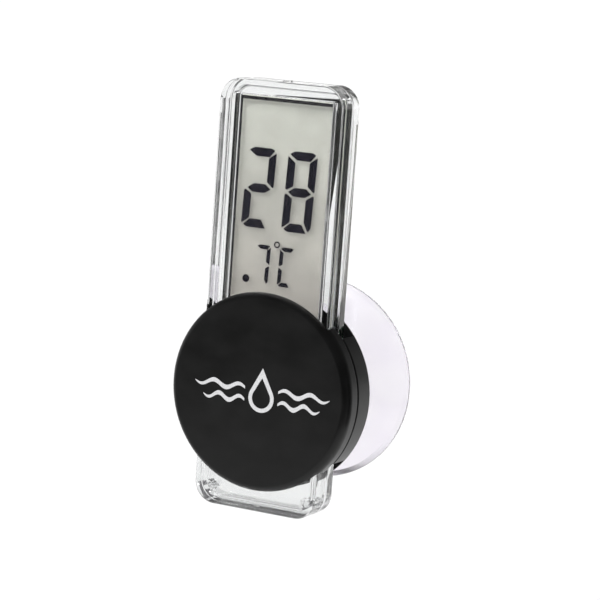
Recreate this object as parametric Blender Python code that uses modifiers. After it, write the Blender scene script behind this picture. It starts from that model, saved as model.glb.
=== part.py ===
"""A digital aquarium thermometer that a suction cup holds to the tank's glass, in metres, with +Z up.

The display faces -Y and the glass is towards +Y. The origin is the centre of the suction cup's
sealing plane, and the cup, the round housing and the swivel joint share the Y axis through it.
Pieces that touch in the real object keep a small gap here.
"""

import math

import bmesh
import bpy

MM = 0.001
AXES = "XYZ"

# Driving dimensions: the clear case
CASE_WIDTH = 33.6 * MM
CASE_HEIGHT = 105.0 * MM
CASE_DEPTH = 9.0 * MM
CASE_CORNER = 5.5 * MM
CASE_MID_Y = -26.7 * MM
CASE_MID_Z = 22.85 * MM
SIDE_WALL = 1.7 * MM
POCKET_LOW = 12.0 * MM
FACE_WALL = 1.5 * MM
EDGE_ROUND = 0.6 * MM
SPLIT_Y = CASE_MID_Y + 0.6 * MM

# Driving dimensions: the round housing that clasps the case
HOUSING_RADIUS = 24.6 * MM
HOUSING_WALL = 1.5 * MM
HOUSING_FRONT = CASE_MID_Y - 6.4 * MM
HOUSING_BACK = CASE_MID_Y + 6.2 * MM
SEAM_Y = CASE_MID_Y - 0.8 * MM
FRONT_ROUND = 2.0 * MM
BACK_ROUND = 1.0 * MM
REAR_NOTCH_HALF = 19.2 * MM

# Driving dimensions: the suction cup
CUP_RADIUS = 25.4 * MM
CUP_LIP = 2.0 * MM
CUP_RIM = 1.0 * MM
CUP_HOLLOW = 8.0 * MM
CUP_DOME = 12.0 * MM
NECK_RADIUS = 3.7 * MM
KNOB_RADIUS = 5.2 * MM
KNOB_THICK = 2.5 * MM
KNOB_FRONT = -20.2 * MM

# Driving dimensions: the button cell and its cover
CELL_RADIUS = 5.8 * MM
CELL_THICK = 5.4 * MM
CELL_Z = -15.6 * MM
CELL_FRONT = CASE_MID_Y - 2.6 * MM
COVER_RADIUS = 7.0 * MM
COVER_TURN = math.radians(40)

# Driving dimensions: the display, front to back
LCD_HALF = 13.4 * MM
LCD_LOW = 14.0 * MM
LCD_TOP = 71.4 * MM
LCD_FRONT = CASE_MID_Y - 1.0 * MM
LEDGE = 3.0 * MM
POLARISER = 0.2 * MM
GLASS = 0.7 * MM
SEAL = 0.2 * MM

# Driving dimensions: the circuit board
BOARD_HALF = 13.5 * MM
BOARD_LOW = -17.5 * MM
BOARD_TOP = 17.5 * MM
BOARD_FRONT = CASE_MID_Y + 1.6 * MM
BOARD_THICK = 0.8 * MM

# Gaps and overlaps between shapes
GAP = 0.3 * MM
THIN_GAP = 0.1 * MM
ROOT = 0.5 * MM
THROUGH = 2.0 * MM

CASE_FRONT = CASE_MID_Y - CASE_DEPTH / 2
CASE_BACK = CASE_MID_Y + CASE_DEPTH / 2
HOLLOW_FRONT = CASE_FRONT + FACE_WALL
HOLLOW_BACK = CASE_BACK - FACE_WALL
HOUSING_INNER_FRONT = HOUSING_FRONT + HOUSING_WALL
HOUSING_INNER_BACK = HOUSING_BACK - 1.3 * MM
POST_PLACES = [(x * 14.0 * MM, CASE_MID_Z - 48.75 * MM) for x in (-1, 1)]
SCREW_PLACES = [(x * 19.9 * MM, z * 8.0 * MM) for z in (1, -1) for x in (-1, 1)]
BOARD_SCREW_PLACES = [(x * 11.5 * MM, -2.0 * MM) for x in (-1, 1)]
SOLDER_FACE = BOARD_FRONT - THIN_GAP


# ---------------------------------------------------------------- scene and materials


def clear_scene():
    for obj in list(bpy.data.objects):
        bpy.data.objects.remove(obj)


def new_collection(name):
    collection = bpy.data.collections.new(name)
    bpy.context.scene.collection.children.link(collection)
    return collection


def new_empty(name, location=(0, 0, 0), parent=None):
    empty = bpy.data.objects.new(name, None)
    empty.location = location
    empty.parent = parent
    parts.objects.link(empty)
    return empty


def plastic(name, color, roughness=0.4, metallic=0.0, alpha=1.0):
    material = bpy.data.materials.new(name)
    material.use_nodes = True
    shader = material.node_tree.nodes["Principled BSDF"]
    shader.inputs["Base Color"].default_value = (*color, 1.0)
    shader.inputs["Roughness"].default_value = roughness
    shader.inputs["Metallic"].default_value = metallic
    shader.inputs["Alpha"].default_value = alpha
    material.diffuse_color = (*color, alpha)
    return material


# ---------------------------------------------------------------- shapes


def new_part(name, mesh, material, parent=None):
    """Links a mesh as one sub-part, with smooth shading on its round faces."""
    obj = bpy.data.objects.new(name, mesh)
    mesh.shade_smooth()
    mesh.set_sharp_from_angle(angle=math.radians(35))
    mesh.materials.append(material)
    obj.parent = parent
    parts.objects.link(obj)
    return obj


def new_tool(name, mesh, parent=None):
    """Links a mesh as a Boolean's other half, which isn't part of the model itself."""
    obj = bpy.data.objects.new(name, mesh)
    obj.hide_render = True
    obj.display_type = "WIRE"
    obj.parent = parent
    tools.objects.link(obj)
    return obj


def block(low, high, corner=0.0, axis="Y", edge=0.0, edge_at=None):
    """A box from its lowest to its highest corner. Its edges along the axis get the corner radius, and
    the outline of its face at edge_at on that axis gets the edge radius."""
    bm = bmesh.new()
    bmesh.ops.create_cube(bm, size=1.0)
    for vert in bm.verts:
        vert.co = [high[i] if vert.co[i] > 0 else low[i] for i in range(3)]
    along = AXES.index(axis)
    if corner:
        long = [e for e in bm.edges if abs(e.verts[0].co[along] - e.verts[1].co[along]) > 1e-6]
        bmesh.ops.bevel(bm, geom=long, offset=corner, segments=6, profile=0.5, affect="EDGES")
    if edge:
        rim = [e for e in bm.edges if all(abs(v.co[along] - edge_at) < 1e-7 for v in e.verts)]
        bmesh.ops.bevel(bm, geom=rim, offset=edge, segments=2, profile=0.5, affect="EDGES")
    return mesh_from(bm)


def cylinder(radius, low, high, x=0.0, z=0.0, sides=24):
    """A cylinder along Y from y low to y high."""
    bm = bmesh.new()
    bmesh.ops.create_cone(
        bm, cap_ends=True, segments=sides, radius1=radius, radius2=radius, depth=high - low
    )
    for vert in bm.verts:
        around, side, height = vert.co
        vert.co = (x + around, (low + high) / 2 + height, z - side)
    return mesh_from(bm)


def mesh_from(bm):
    mesh = bpy.data.meshes.new("mesh")
    bmesh.ops.recalc_face_normals(bm, faces=bm.faces)
    bm.to_mesh(mesh)
    bm.free()
    return mesh


def profile_mesh(points, closed=False):
    """The outline (radius, y) of a turned shape, as edges in its own XZ plane."""
    mesh = bpy.data.meshes.new("profile")
    count = len(points)
    edges = [(i, i + 1) for i in range(count - 1)]
    if closed:
        edges.append((count - 1, 0))
    mesh.from_pydata([(radius, 0, y) for radius, y in points], edges, [])
    return mesh


def turn(obj, steps, x=0.0, z=0.0):
    """Spins an outline about Y with a Screw modifier. Its own Z lies along the object's Y."""
    obj.rotation_euler.x = math.radians(-90)
    obj.location.x += x
    obj.location.z += z
    screw = obj.modifiers.new("turn", "SCREW")
    screw.axis = "Z"
    screw.steps = screw.render_steps = steps
    screw.use_merge_vertices = True
    screw.merge_threshold = 1e-6
    screw.use_smooth_shade = False
    return obj


def turned_part(name, points, material, steps=32, x=0.0, z=0.0, closed=False, parent=None):
    obj = new_part(name, profile_mesh(points, closed), material, parent)
    return turn(obj, steps, x, z)


def arc(centre, radius, start, end, steps=6):
    """Points (radius, y) on a circle, from one angle in degrees to another."""
    angles = [math.radians(start + (end - start) * i / steps) for i in range(steps + 1)]
    return [(centre[0] + radius * math.cos(a), centre[1] + radius * math.sin(a)) for a in angles]


def strip(name, path, plane_axes, width_axis, low, high, thick, material, parent):
    """Sheet metal: an open line in a plane, swept across its width and thickened."""
    bm = bmesh.new()
    first, second = (AXES.index(a) for a in plane_axes)
    across = AXES.index(width_axis)
    verts = []
    for a, b in path:
        co = [0.0, 0.0, 0.0]
        co[first], co[second], co[across] = a, b, low
        verts.append(bm.verts.new(co))
    edges = [bm.edges.new(pair) for pair in zip(verts, verts[1:])]
    swept = bmesh.ops.extrude_edge_only(bm, edges=edges)["geom"]
    for vert in (v for v in swept if isinstance(v, bmesh.types.BMVert)):
        vert.co[across] = high
    obj = new_part(name, mesh_from(bm), material, parent)
    solid = obj.modifiers.new("thickness", "SOLIDIFY")
    solid.thickness = thick
    solid.offset = 0.0
    return obj


def combine(target, name, mesh, operation):
    """Adds or removes a mesh with a Boolean. The tool shares the target's parent."""
    tool = new_tool(target.name + "_" + name, mesh, target.parent)
    boolean = target.modifiers.new(name, "BOOLEAN")
    boolean.operation = operation
    boolean.object = tool
    return tool


def add(target, name, mesh):
    return combine(target, name, mesh, "UNION")


def cut(target, name, mesh):
    return combine(target, name, mesh, "DIFFERENCE")


# ---------------------------------------------------------------- clear case


def case_block(inset, low, high, edge_at=None):
    """A round-cornered block on the case's centre line, inset from the case's outline."""
    half_width = CASE_WIDTH / 2 - inset
    half_height = CASE_HEIGHT / 2 - inset
    return block(
        (-half_width, low, CASE_MID_Z - half_height),
        (half_width, high, CASE_MID_Z + half_height),
        corner=CASE_CORNER - inset,
        edge=EDGE_ROUND if edge_at is not None else 0.0,
        edge_at=edge_at,
    )


def make_case_front_shell():
    """The thick shell in front of the display. A close pocket in it locates the glass, and below that
    it is a thin-walled tray, with sockets in its bottom corners for the rear shell's pins."""
    rim = SPLIT_Y - GAP / 2
    shell = new_part(
        "case_front_shell", case_block(0, CASE_FRONT, rim, CASE_FRONT), clear_acrylic, thermometer
    )
    half = LCD_HALF + GAP
    pocket = block((-half, HOLLOW_FRONT, POCKET_LOW), (half, rim + THROUGH, LCD_TOP + GAP), 0.5 * MM)
    cut(shell, "pocket", pocket)
    half = CASE_WIDTH / 2 - SIDE_WALL
    tray_low = (-half, HOLLOW_FRONT, CASE_MID_Z - CASE_HEIGHT / 2 + SIDE_WALL)
    tray = block(tray_low, (half, rim + THROUGH, POCKET_LOW + ROOT), CASE_CORNER - SIDE_WALL)
    cut(shell, "tray", tray)
    for i, (x, z) in enumerate(POST_PLACES):
        socket = cylinder(1.5 * MM, HOLLOW_FRONT - ROOT, rim - THIN_GAP, x, z, 16)
        add(shell, f"socket_{i}", socket)
    for i, (x, z) in enumerate(POST_PLACES):
        bore = cylinder(0.85 * MM, HOLLOW_FRONT + ROOT, rim + THROUGH, x, z, 12)
        cut(shell, f"socket_bore_{i}", bore)


def make_case_rear_shell():
    """The tray behind the display. Two ribs back the glass, two bosses hold the board, and a round
    opening takes the battery well."""
    rim = SPLIT_Y + GAP / 2
    root = HOLLOW_BACK + ROOT
    shell = new_part(
        "case_rear_shell", case_block(0, rim, CASE_BACK, CASE_BACK), clear_acrylic, thermometer
    )
    cut(shell, "hollow", case_block(SIDE_WALL, rim - THROUGH, HOLLOW_BACK))
    cut(shell, "cell_opening", cylinder(8.6 * MM, root - THROUGH, CASE_BACK + THROUGH, 0, CELL_Z, 48))
    for i, (x, z) in enumerate(POST_PLACES):
        add(shell, f"pin_{i}", cylinder(0.55 * MM, SPLIT_Y - 1.5 * MM, root, x, z, 12))
    for i, (x, z) in enumerate(BOARD_SCREW_PLACES):
        boss_front = BOARD_FRONT + BOARD_THICK + GAP
        add(shell, f"board_boss_{i}", cylinder(1.6 * MM, boss_front, root, x, z, 20))
        bore = cylinder(0.85 * MM, boss_front - THROUGH, CASE_BACK - 0.4 * MM, x, z, 12)
        cut(shell, f"board_boss_bore_{i}", bore)
    for side in (-1, 1):
        edges = sorted((side * 9.0 * MM, side * 10.0 * MM))
        low = (edges[0], LCD_FRONT + lcd_depth() + GAP, 24 * MM)
        add(shell, f"rib_{side}", block(low, (edges[1], root, 66 * MM)))


# ---------------------------------------------------------------- display


def lcd_depth():
    return 2 * POLARISER + 2 * GLASS + SEAL + 4 * THIN_GAP


def lcd_sheet(name, front, thick, inset, low, material):
    mesh = block(
        (-LCD_HALF + inset, front, low), (LCD_HALF - inset, front + thick, LCD_TOP - inset)
    )
    return new_part(name, mesh, material, thermometer)


def make_display():
    """Five layers from front to back. The front glass stands below the rear one, as the contact ledge."""
    y = LCD_FRONT
    lcd_sheet("lcd_front_polariser", y, POLARISER, 0.2 * MM, LCD_LOW + LEDGE, polariser_film)
    y += POLARISER + THIN_GAP
    lcd_sheet("lcd_front_glass", y, GLASS, 0.0, LCD_LOW, display_glass)
    y += GLASS + THIN_GAP
    ledge_face = y
    seal = lcd_sheet("lcd_edge_seal", y, SEAL, 0.4 * MM, LCD_LOW + LEDGE + 0.4 * MM, black_epoxy)
    window_side = LCD_HALF - 0.8 * MM
    window = block(
        (-window_side, y - THROUGH, LCD_LOW + LEDGE + 1.2 * MM),
        (window_side, y + THROUGH, LCD_TOP - 1.2 * MM),
    )
    cut(seal, "window", window)
    y += SEAL + THIN_GAP
    lcd_sheet("lcd_rear_glass", y, GLASS, 0.0, LCD_LOW + LEDGE, display_glass)
    y += GLASS + THIN_GAP
    lcd_sheet("lcd_rear_polariser", y, POLARISER, 0.2 * MM, LCD_LOW + LEDGE + 0.2 * MM, reflector_film)

    plug = block(
        (3 * MM, ledge_face, LCD_LOW + LEDGE - 0.5 * MM),
        (7 * MM, ledge_face + 0.9 * MM, LCD_LOW + LEDGE - THIN_GAP),
    )
    new_part("lcd_fill_plug", plug, black_epoxy, thermometer)
    connector = block(
        (-12 * MM, ledge_face, LCD_LOW + 0.2 * MM), (12 * MM, SOLDER_FACE, LCD_LOW + 2.1 * MM)
    )
    new_part("zebra_connector", connector, grey_elastomer, thermometer)


# ---------------------------------------------------------------- circuit board and what is on it


def make_circuit_board():
    mesh = block(
        (-BOARD_HALF, BOARD_FRONT, BOARD_LOW),
        (BOARD_HALF, BOARD_FRONT + BOARD_THICK, BOARD_TOP),
        corner=2.5 * MM,
    )
    board = new_part("circuit_board", mesh, board_green, thermometer)
    back = BOARD_FRONT + BOARD_THICK
    recess = cylinder(CELL_RADIUS + 0.7 * MM, BOARD_FRONT - THROUGH, back + THROUGH, 0, CELL_Z, 40)
    cut(board, "cell_recess", recess)
    for i, (x, z) in enumerate(BOARD_SCREW_PLACES):
        hole = cylinder(0.9 * MM, BOARD_FRONT - THROUGH, back + THROUGH, x, z, 12)
        cut(board, f"screw_hole_{i}", hole)


def make_board_screws():
    """Low-headed screws that go from the front through the board into the rear shell."""
    for i, (x, z) in enumerate(BOARD_SCREW_PLACES):
        seat = SOLDER_FACE
        profile = [
            (0, seat + 2.4 * MM),
            (0.3 * MM, seat + 2.4 * MM),
            (0.6 * MM, seat + 2.0 * MM),
            (0.6 * MM, seat),
            (1.25 * MM, seat),
            (1.25 * MM, seat - 0.5 * MM),
            (0.9 * MM, seat - 0.8 * MM),
            (0, seat - 0.8 * MM),
        ]
        screw = turned_part(
            f"board_screw_{i + 1}", profile, zinc_steel, steps=16, x=x, z=z, parent=thermometer
        )
        cut_cross(screw, x, z, seat - 0.8 * MM, -1, 0.7 * MM, 0.4 * MM)


def cut_cross(screw, x, z, face, outwards, reach, deep):
    """Cuts a cross recess into a screw's head, whose outer face is at y face."""
    low, high = sorted((face - outwards * deep, face + outwards * THROUGH))
    half = 0.2 * MM
    for name, dx, dz in (("slot_across", reach, half), ("slot_up", half, reach)):
        cut(screw, name, block((x - dx, low, z - dz), (x + dx, high, z + dz)))


def make_chips():
    """The covered display chip and the small parts soldered beside it, all on the board's front."""
    dome_height = 1.3 * MM
    dome = [(0, SOLDER_FACE), (4.2 * MM, SOLDER_FACE)]
    sphere = (4.2**2 + 1.3**2) / (2 * 1.3) * MM
    centre = SOLDER_FACE - dome_height + sphere
    for i in range(1, 6):
        radius = 4.2 * MM * (1 - i / 5)
        dome.append((radius, centre - math.sqrt(sphere**2 - radius**2)))
    turned_part("chip_blob", dome, black_epoxy, steps=28, z=4.5 * MM, parent=thermometer)

    small = (
        ("chip_capacitor", -8.5, 4.0, 2.0, 1.25, 1.0, ceramic_tan),
        ("chip_resistor_1", 7.0, 7.5, 1.6, 0.8, 0.5, chip_black),
        ("chip_resistor_2", 7.0, 1.0, 1.6, 0.8, 0.5, chip_black),
    )
    for name, x, z, length, width, height, material in small:
        low = ((x - length / 2) * MM, SOLDER_FACE - height * MM, (z - width / 2) * MM)
        high = ((x + length / 2) * MM, SOLDER_FACE, (z + width / 2) * MM)
        new_part(name, block(low, high, corner=0.1 * MM, axis="X"), material, thermometer)


def make_temperature_sensor():
    """A thermistor bead that stands off the board on two short leads."""
    x, z, centre = 9.2 * MM, -9.5 * MM, BOARD_FRONT - 2.4 * MM
    bead = [(0, centre + 1.1 * MM), *arc((0, centre), 1.1 * MM, 60, -60, 6), (0, centre - 1.1 * MM)]
    sensor = turned_part(
        "temperature_sensor", bead, chip_black, steps=16, x=x, z=z, parent=thermometer
    )
    for i, side in enumerate((-1, 1)):
        add(sensor, f"lead_{i}", cylinder(0.2 * MM, centre, SOLDER_FACE, x + side * 0.5 * MM, z, 8))


# ---------------------------------------------------------------- cell, contacts


def make_button_cell():
    """An LR44 cell, its smaller negative cap to the front."""
    back = CELL_FRONT + CELL_THICK
    rim = 0.25 * MM
    profile = [
        (0, back),
        (CELL_RADIUS - rim, back),
        (CELL_RADIUS, back - rim),
        (CELL_RADIUS, CELL_FRONT + 0.5 * MM),
        (CELL_RADIUS - 0.3 * MM, CELL_FRONT + 0.25 * MM),
        (CELL_RADIUS - 0.7 * MM, CELL_FRONT + 0.25 * MM),
        (CELL_RADIUS - 0.9 * MM, CELL_FRONT),
        (0, CELL_FRONT),
    ]
    turned_part("button_cell", profile, cell_steel, steps=40, z=CELL_Z, parent=thermometer)


def make_contacts():
    """Two bent strips: one lies in front of the cell, the other hugs its side."""
    thick = 0.15 * MM
    front = CELL_FRONT - 0.22 * MM
    foot = SOLDER_FACE - thick / 2
    leaf = [(front, -18 * MM), (front, -7 * MM), (foot, -5.6 * MM), (foot, -3 * MM)]
    strip("negative_contact", leaf, "YZ", "X", -2 * MM, 2 * MM, thick, contact_metal, thermometer)
    hug = CELL_RADIUS + 0.25 * MM
    clip = arc((0, CELL_Z), hug, 215, 150, 8) + [(-9.5 * MM, -9.5 * MM)]
    high = SOLDER_FACE
    strip("positive_contact", clip, "XZ", "Y", high - 2.2 * MM, high, thick, contact_metal, thermometer)


# ---------------------------------------------------------------- round housing


def case_notch(half_width):
    """The room that the case needs where it passes through the housing's rim."""
    half_depth = CASE_DEPTH / 2 + GAP
    return block(
        (-half_width, CASE_MID_Y - half_depth, -HOUSING_RADIUS - THROUGH),
        (half_width, CASE_MID_Y + half_depth, HOUSING_RADIUS + THROUGH),
    )


def make_front_cover():
    """The plain round front, with four bosses for the housing screws."""
    inner = HOUSING_RADIUS - HOUSING_WALL
    rim = SEAM_Y - GAP / 2
    centre = (HOUSING_RADIUS - FRONT_ROUND, HOUSING_FRONT + FRONT_ROUND)
    profile = [
        (0, HOUSING_INNER_FRONT),
        (inner - 0.6 * MM, HOUSING_INNER_FRONT),
        (inner, HOUSING_INNER_FRONT + 0.6 * MM),
        (inner, rim),
        (HOUSING_RADIUS, rim),
        *arc(centre, FRONT_ROUND, 0, -90, 5),
        (0, HOUSING_FRONT),
    ]
    cover = turned_part("front_cover", profile, satin_black, steps=60, parent=thermometer)
    cut(cover, "notch", case_notch(CASE_WIDTH / 2 + GAP))
    for i, (x, z) in enumerate(SCREW_PLACES):
        add(cover, f"boss_{i}", cylinder(2.0 * MM, HOUSING_INNER_FRONT - ROOT, rim - GAP, x, z, 20))
        bore = cylinder(1.1 * MM, HOUSING_INNER_FRONT + ROOT, rim + THROUGH, x, z, 12)
        cut(cover, f"bore_{i}", bore)


def make_rear_cover():
    """The round back, with the cup's socket, the battery well and four screw seats."""
    inner = HOUSING_RADIUS - HOUSING_WALL
    rim = SEAM_Y + GAP / 2
    centre = (HOUSING_RADIUS - BACK_ROUND, HOUSING_BACK - BACK_ROUND)
    floor = KNOB_FRONT - 0.4 * MM
    lip = KNOB_FRONT + KNOB_THICK + GAP
    mouth = lip + 1.6 * MM
    profile = [
        (0, floor),
        (KNOB_RADIUS + GAP, floor),
        (KNOB_RADIUS + GAP, lip),
        (NECK_RADIUS + 0.4 * MM, lip),
        (NECK_RADIUS + 0.4 * MM, mouth),
        (7.0 * MM, mouth),
        (7.5 * MM, mouth - 0.5 * MM),
        (7.5 * MM, HOUSING_BACK),
        *arc(centre, BACK_ROUND, 90, 0, 4),
        (HOUSING_RADIUS, rim),
        (inner, rim),
        (inner, HOUSING_INNER_BACK),
        (0, HOUSING_INNER_BACK),
    ]
    cover = turned_part("rear_cover", profile, satin_black, steps=60, parent=thermometer)
    cut(cover, "notch", case_notch(REAR_NOTCH_HALF))
    make_battery_well(cover)
    for i, (x, z) in enumerate(SCREW_PLACES):
        seat = HOUSING_BACK - 1.5 * MM
        add(cover, f"boss_{i}", cylinder(2.6 * MM, rim, HOUSING_INNER_BACK + ROOT, x, z, 20))
        cut(cover, f"seat_{i}", cylinder(2.0 * MM, seat, HOUSING_BACK + THROUGH, x, z, 20))
        cut(cover, f"bore_{i}", cylinder(1.1 * MM, rim - THROUGH, seat + ROOT, x, z, 12))


def make_battery_well(cover):
    """A stepped bore with an inner lip. Two gaps in the lip let the battery cover's lugs through."""
    wide = COVER_RADIUS + GAP
    throat = COVER_RADIUS - 0.7 * MM
    low = CASE_MID_Y + 3.3 * MM
    add(cover, "well", cylinder(8.3 * MM, low, HOUSING_INNER_BACK + ROOT, 0, CELL_Z, 48))
    profile = [
        (0, HOUSING_BACK + THROUGH),
        (wide, HOUSING_BACK + THROUGH),
        (wide, HOUSING_BACK - 1.5 * MM),
        (throat, HOUSING_BACK - 1.5 * MM),
        (throat, HOUSING_BACK - 2.0 * MM),
        (wide, HOUSING_BACK - 2.0 * MM),
        (wide, low - THROUGH),
        (0, low - THROUGH),
    ]
    well_bore = cut(cover, "well_bore", profile_mesh(profile))
    turn(well_bore, 48, z=CELL_Z)
    for i in range(2):
        gap_mesh = block(
            (5.0 * MM, HOUSING_BACK - 2.3 * MM, -2.2 * MM), (7.1 * MM, HOUSING_BACK - 1.2 * MM, 2.2 * MM)
        )
        lug_gap = cut(cover, f"lug_gap_{i}", gap_mesh)
        lug_gap.location.z = CELL_Z
        lug_gap.rotation_euler.y = COVER_TURN + i * math.pi


def make_housing_screws():
    """Four screws that go from the back through the rear cover into the front one."""
    seat = HOUSING_BACK - 1.4 * MM
    tip = HOUSING_FRONT + 2.4 * MM
    profile = [
        (0, seat + 1.1 * MM),
        (1.4 * MM, seat + 1.1 * MM),
        (1.7 * MM, seat + 0.7 * MM),
        (1.7 * MM, seat),
        (0.8 * MM, seat),
        (0.8 * MM, tip + 0.6 * MM),
        (0.3 * MM, tip),
        (0, tip),
    ]
    for i, (x, z) in enumerate(SCREW_PLACES):
        name = f"housing_screw_{i + 1}"
        screw = turned_part(name, profile, zinc_steel, steps=16, x=x, z=z, parent=thermometer)
        cut_cross(screw, x, z, seat + 1.1 * MM, 1, 1.0 * MM, 0.5 * MM)


# ---------------------------------------------------------------- battery cover, which turns


def make_battery_cover():
    """A coin-slotted cap with two lugs, its gasket and the foam pad that presses on the cell."""
    outer = HOUSING_BACK
    under = outer - 0.9 * MM
    end = outer - 2.7 * MM
    pad_seat = outer - 1.7 * MM
    neck = COVER_RADIUS - 1.0 * MM
    profile = [
        (0, outer),
        (COVER_RADIUS - 0.2 * MM, outer),
        (COVER_RADIUS, outer - 0.2 * MM),
        (COVER_RADIUS, under),
        (neck, under),
        (neck, end),
        (neck - 1.0 * MM, end),
        (neck - 1.0 * MM, pad_seat),
        (0, pad_seat),
    ]
    cap = turned_part("battery_cover", profile, satin_black, steps=48, parent=battery_pivot)
    slot = block((-4.5 * MM, outer - 0.5 * MM, -0.7 * MM), (4.5 * MM, outer + THROUGH, 0.7 * MM))
    cut(cap, "coin_slot", slot)
    for side in (-1, 1):
        edges = sorted((side * (neck - ROOT), side * 6.75 * MM))
        lug = block((edges[0], end, -1.7 * MM), (edges[1], end + 0.5 * MM, 1.7 * MM))
        add(cap, f"lug_{side}", lug)

    gasket = [
        (neck + 0.2 * MM, under - 0.15 * MM),
        (COVER_RADIUS - 0.05 * MM, under - 0.15 * MM),
        (COVER_RADIUS - 0.05 * MM, under - 0.45 * MM),
        (neck + 0.2 * MM, under - 0.45 * MM),
    ]
    turned_part(
        "battery_cover_seal", gasket, black_rubber, steps=48, closed=True, parent=battery_pivot
    )
    pad_front = CELL_FRONT + CELL_THICK + 0.15 * MM
    pad = cylinder(neck - 1.4 * MM, pad_front, pad_seat - 0.15 * MM, sides=32)
    new_part("battery_cover_pad", pad, grey_foam, battery_pivot)


# ---------------------------------------------------------------- suction cup


def make_suction_cup():
    """A soft cup with a flat lip, a domed hollow and a knob that snaps into the housing's socket."""
    hollow_edge = CUP_RADIUS - CUP_LIP
    hollow_sphere = (hollow_edge**2 + CUP_HOLLOW**2) / (2 * CUP_HOLLOW)
    dome_height = CUP_DOME - CUP_RIM
    dome_sphere = (CUP_RADIUS**2 + dome_height**2) / (2 * dome_height)
    fillet = 3.5 * MM
    shoulder = NECK_RADIUS + fillet
    steps = 6
    hollow = []
    dome = []
    for i in range(steps + 1):
        radius = hollow_edge * i / steps
        depth = math.sqrt(hollow_sphere**2 - radius**2) - (hollow_sphere - CUP_HOLLOW)
        hollow.append((radius, -depth))
        radius = CUP_RADIUS + (shoulder - CUP_RADIUS) * i / steps
        height = math.sqrt(dome_sphere**2 - radius**2) - (dome_sphere - dome_height)
        dome.append((radius, -CUP_RIM - height))
    knob_back = KNOB_FRONT + KNOB_THICK
    knob = [
        (NECK_RADIUS, knob_back),
        (KNOB_RADIUS, knob_back - 0.1 * MM),
        (KNOB_RADIUS, knob_back - 1.0 * MM),
        (KNOB_RADIUS - 0.8 * MM, KNOB_FRONT),
        (0, KNOB_FRONT),
    ]
    neck = arc((shoulder, dome[-1][1] - fillet), fillet, 90, 180, 5)[1:]
    profile = [*hollow, (CUP_RADIUS, 0), *dome, *neck, *knob]
    turned_part("suction_cup", profile, clear_vinyl, steps=44, parent=cup)


clear_scene()
parts = new_collection("aquarium_thermometer")
tools = new_collection("boolean_tools")

clear_acrylic = plastic("clear_acrylic", (0.93, 0.95, 0.95), 0.05, alpha=0.3)
satin_black = plastic("satin_black_abs", (0.02, 0.02, 0.022), 0.38)
clear_vinyl = plastic("clear_vinyl", (0.92, 0.9, 0.93), 0.2, alpha=0.5)
display_glass = plastic("display_glass", (0.78, 0.8, 0.76), 0.05, alpha=0.5)
polariser_film = plastic("polariser_film", (0.6, 0.61, 0.56), 0.15, alpha=0.6)
reflector_film = plastic("reflector_film", (0.62, 0.63, 0.58), 0.35, metallic=0.3)
black_epoxy = plastic("black_epoxy", (0.02, 0.02, 0.02), 0.3)
grey_elastomer = plastic("grey_elastomer", (0.35, 0.36, 0.4), 0.7)
board_green = plastic("board_green", (0.03, 0.16, 0.07), 0.45)
chip_black = plastic("chip_black", (0.03, 0.03, 0.03), 0.4)
ceramic_tan = plastic("ceramic_tan", (0.55, 0.42, 0.28), 0.5)
cell_steel = plastic("cell_steel", (0.75, 0.75, 0.76), 0.25, metallic=1.0)
zinc_steel = plastic("zinc_steel", (0.7, 0.7, 0.7), 0.35, metallic=1.0)
contact_metal = plastic("contact_metal", (0.8, 0.72, 0.5), 0.3, metallic=1.0)
black_rubber = plastic("black_rubber", (0.02, 0.02, 0.02), 0.8)
grey_foam = plastic("grey_foam", (0.3, 0.3, 0.31), 0.95)

cup = new_empty("suction_cup_seat")
thermometer = new_empty("thermometer_swivel", parent=cup)
battery_pivot = new_empty("battery_cover_pivot", (0, 0, CELL_Z), thermometer)

make_case_front_shell()
make_case_rear_shell()
make_display()
make_circuit_board()
make_board_screws()
make_chips()
make_temperature_sensor()
make_button_cell()
make_contacts()
make_front_cover()
make_rear_cover()
make_housing_screws()
make_battery_cover()
make_suction_cup()
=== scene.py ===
"""The looks of the digital aquarium thermometer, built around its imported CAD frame.

Units are metres, +Z is up, the display faces -Y, and the suction cup's sealing plane is at Y = 0.
Every fine piece stands in the room of the CAD node that it replaces, and rides on that node's body.
"""

import math

import bmesh
import bpy
from mathutils import Matrix, Vector


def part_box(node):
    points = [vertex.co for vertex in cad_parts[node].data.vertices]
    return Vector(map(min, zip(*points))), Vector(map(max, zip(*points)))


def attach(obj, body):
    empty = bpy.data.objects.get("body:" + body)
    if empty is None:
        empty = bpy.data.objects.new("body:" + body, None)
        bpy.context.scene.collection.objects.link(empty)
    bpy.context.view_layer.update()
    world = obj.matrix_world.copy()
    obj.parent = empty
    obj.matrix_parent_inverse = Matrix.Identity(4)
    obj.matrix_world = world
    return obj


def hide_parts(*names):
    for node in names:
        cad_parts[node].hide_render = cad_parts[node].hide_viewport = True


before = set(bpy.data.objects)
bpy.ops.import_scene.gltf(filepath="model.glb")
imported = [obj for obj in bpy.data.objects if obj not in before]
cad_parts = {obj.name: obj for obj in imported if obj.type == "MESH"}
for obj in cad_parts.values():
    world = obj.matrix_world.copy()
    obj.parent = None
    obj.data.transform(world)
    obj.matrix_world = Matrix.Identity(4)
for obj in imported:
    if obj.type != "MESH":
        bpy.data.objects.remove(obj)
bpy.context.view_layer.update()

MM = 0.001
THERMOMETER = "thermometer"
CUP = "cup"
HATCH = "battery_hatch"

# Fine facets: sides of a large, a middling and a small turned piece, of the battery cap and of the
# degree ring, steps of a small and a large rounded corner, and the angle from which an edge is sharp
LARGE_SIDES = 192
MIDDLE_SIDES = 96
SMALL_SIDES = 40
CAP_SIDES = 128
RING_SIDES = 48
ARC_STEPS = 6
CORNER_STEPS = 16
SHARP_ANGLE = math.radians(32)

# How far a cutter reaches past what it cuts
THROUGH = 2.0 * MM

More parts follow.
